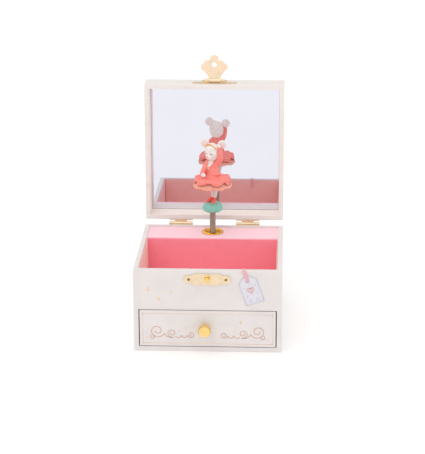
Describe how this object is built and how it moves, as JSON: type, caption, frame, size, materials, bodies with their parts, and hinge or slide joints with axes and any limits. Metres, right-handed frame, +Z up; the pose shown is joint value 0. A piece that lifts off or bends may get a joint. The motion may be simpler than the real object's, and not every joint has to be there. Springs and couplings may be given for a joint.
{
  "type": "ballerina jewellery box",
  "caption": "Square white jewellery box with a mirrored hinged lid, a velvet tray, a drawer, and a small dancer that turns on a spring over a music movement.",
  "frame": {"origin": "middle of the case's underside", "axes": "+Z up, +X to the right seen from the drawer's side; the drawer opens towards -Y and the lid is hinged at +Y"},
  "size_m": [0.12, 0.1594, 0.2189],
  "materials": {
    "white_lacquer": "satin white lacquer over fibreboard",
    "board": "bare fibreboard",
    "card": "plain grey-brown card",
    "velvet": "short pink velvet pile",
    "pale_gold": "polished pale gold plate",
    "gold": "polished gold plate",
    "mirror": "silvered glass",
    "steel": "bright steel",
    "zinc": "cast zinc",
    "brass": "machined brass",
    "paper": "coated card",
    "ribbon": "pink satin ribbon",
    "resin_teal": "painted resin, glossy",
    "resin_coral": "painted resin, satin",
    "resin_peach": "painted resin, satin",
    "resin_white": "painted resin, satin",
    "fan_plastic": "moulded plastic"
  },
  "bodies": {
    "root": {"bottom_panel": "white_lacquer", "side_wall_left": "white_lacquer", "side_wall_right": "white_lacquer", "front_rail": "white_lacquer", "back_wall": "white_lacquer", "shelf": "board", "bulkhead": "board", "stage_card": "card", "lining_floor": "velvet", "lining_front": "velvet", "lining_left": "velvet", "lining_right": "velvet", "lining_stage": "velvet", "ferrule": "gold", "hinge_leaves_case": "gold", "hinge_pins": "gold", "catch_plate": "pale_gold", "catch_knob": "pale_gold", "catch_pins": "pale_gold", "hinge_screws_case": "brass", "spindle_bush": "brass", "movement_screws": "steel", "comb": "steel", "spring_lower": "steel", "bedplate": "zinc", "bearing_posts": "zinc", "mainspring_housing": "zinc", "ribbon": "ribbon"},
    "lid": {"lid_frame": "white_lacquer", "lid_panel": "white_lacquer", "mirror": "mirror", "hinge_leaves_lid": "gold", "hinge_screws_lid": "brass", "hasp_plate": "pale_gold", "hasp_pin_and_nails": "pale_gold"},
    "hasp": {"hasp_flap": "pale_gold"},
    "drawer": {"drawer_front": "white_lacquer", "drawer_side_left": "board", "drawer_side_right": "board", "drawer_back": "board", "drawer_bottom": "board", "drawer_lining": "velvet", "drawer_knob": "gold", "drawer_knob_screw": "steel"},
    "key": {"winding_arbor": "steel", "winding_key": "steel"},
    "spindle": {"spindle": "steel"},
    "cylinder": {"cylinder": "brass", "cylinder_wheel": "brass"},
    "governor": {"governor_wheel": "brass"},
    "fan": {"fan": "fan_plastic"},
    "spring": {"spring_middle": "steel"},
    "seat": {"spring_upper": "steel"},
    "figure": {"figure_cushion": "resin_teal", "figure_skirt": "resin_coral", "figure_petticoat": "resin_peach", "figure_legs": "resin_white", "figure_body": "resin_white", "figure_head": "resin_white"},
    "tag": {"tag": "paper"}
  },
  "joints": [
    {"name": "lid_hinge", "type": "hinge", "parent": "root", "child": "lid", "pos_m": [0, 0.0633, 0.0702], "axis": [1, 0, 0], "range_deg": [0, 91]},
    {"name": "hasp_hinge", "type": "hinge", "parent": "lid", "child": "hasp", "pos_m": [0, 0.07309, 0.19555], "axis": [1, 0, 0], "range_deg": [-99.5, 75.5]},
    {"name": "drawer_slide", "type": "slide", "parent": "root", "child": "drawer", "axis": [0, -1, 0], "range_m": [0, 0.06]},
    {"name": "tag_swing", "type": "hinge", "parent": "root", "child": "tag", "pos_m": [0.0322, -0.06, 0.0616], "axis": [0, 1, 0], "range_deg": [-12, 12]},
    {"name": "key_turn", "type": "hinge", "parent": "root", "child": "key", "pos_m": [-0.0005, 0.043, 0.02], "axis": [0, 1, 0], "continuous": true},
    {"name": "spindle_spin", "type": "hinge", "parent": "root", "child": "spindle", "pos_m": [-0.0005, 0.043, 0.02], "axis": [0, 0, 1], "continuous": true},
    {"name": "cylinder_spin", "type": "hinge", "parent": "root", "child": "cylinder", "pos_m": [-0.0005, 0.043, 0.02], "axis": [1, 0, 0], "continuous": true},
    {"name": "governor_spin", "type": "hinge", "parent": "root", "child": "governor", "pos_m": [-0.0005, 0.043, 0.0344], "axis": [1, 0, 0], "continuous": true},
    {"name": "fan_spin", "type": "hinge", "parent": "root", "child": "fan", "pos_m": [-0.0005, 0.043, 0.0469], "axis": [1, 0, 0], "continuous": true},
    {"name": "spring_lean", "type": "hinge", "parent": "root", "child": "spring", "pos_m": [-0.0005, 0.043, 0.073], "axis": [1, 0, 0], "range_deg": [0, 28]},
    {"name": "spring_fold", "type": "hinge", "parent": "spring", "child": "seat", "pos_m": [-0.0005, 0.043, 0.0825], "axis": [1, 0, 0], "range_deg": [0, 80]},
    {"name": "figure_spin", "type": "hinge", "parent": "seat", "child": "figure", "pos_m": [-0.0005, 0.043, 0.0825], "axis": [0, 0, 1], "continuous": true}
  ],
  "couplings": [
    {"joint": "spindle_spin", "follows": "key_turn", "ratio": -2},
    {"joint": "figure_spin", "follows": "key_turn", "ratio": -2},
    {"joint": "cylinder_spin", "follows": "key_turn", "ratio": -2},
    {"joint": "governor_spin", "follows": "key_turn", "ratio": 6},
    {"joint": "fan_spin", "follows": "key_turn", "ratio": -24},
    {"joint": "spring_lean", "follows": "lid_hinge", "ratio": 0.30769},
    {"joint": "spring_fold", "follows": "lid_hinge", "ratio": 0.87912}
  ]
}
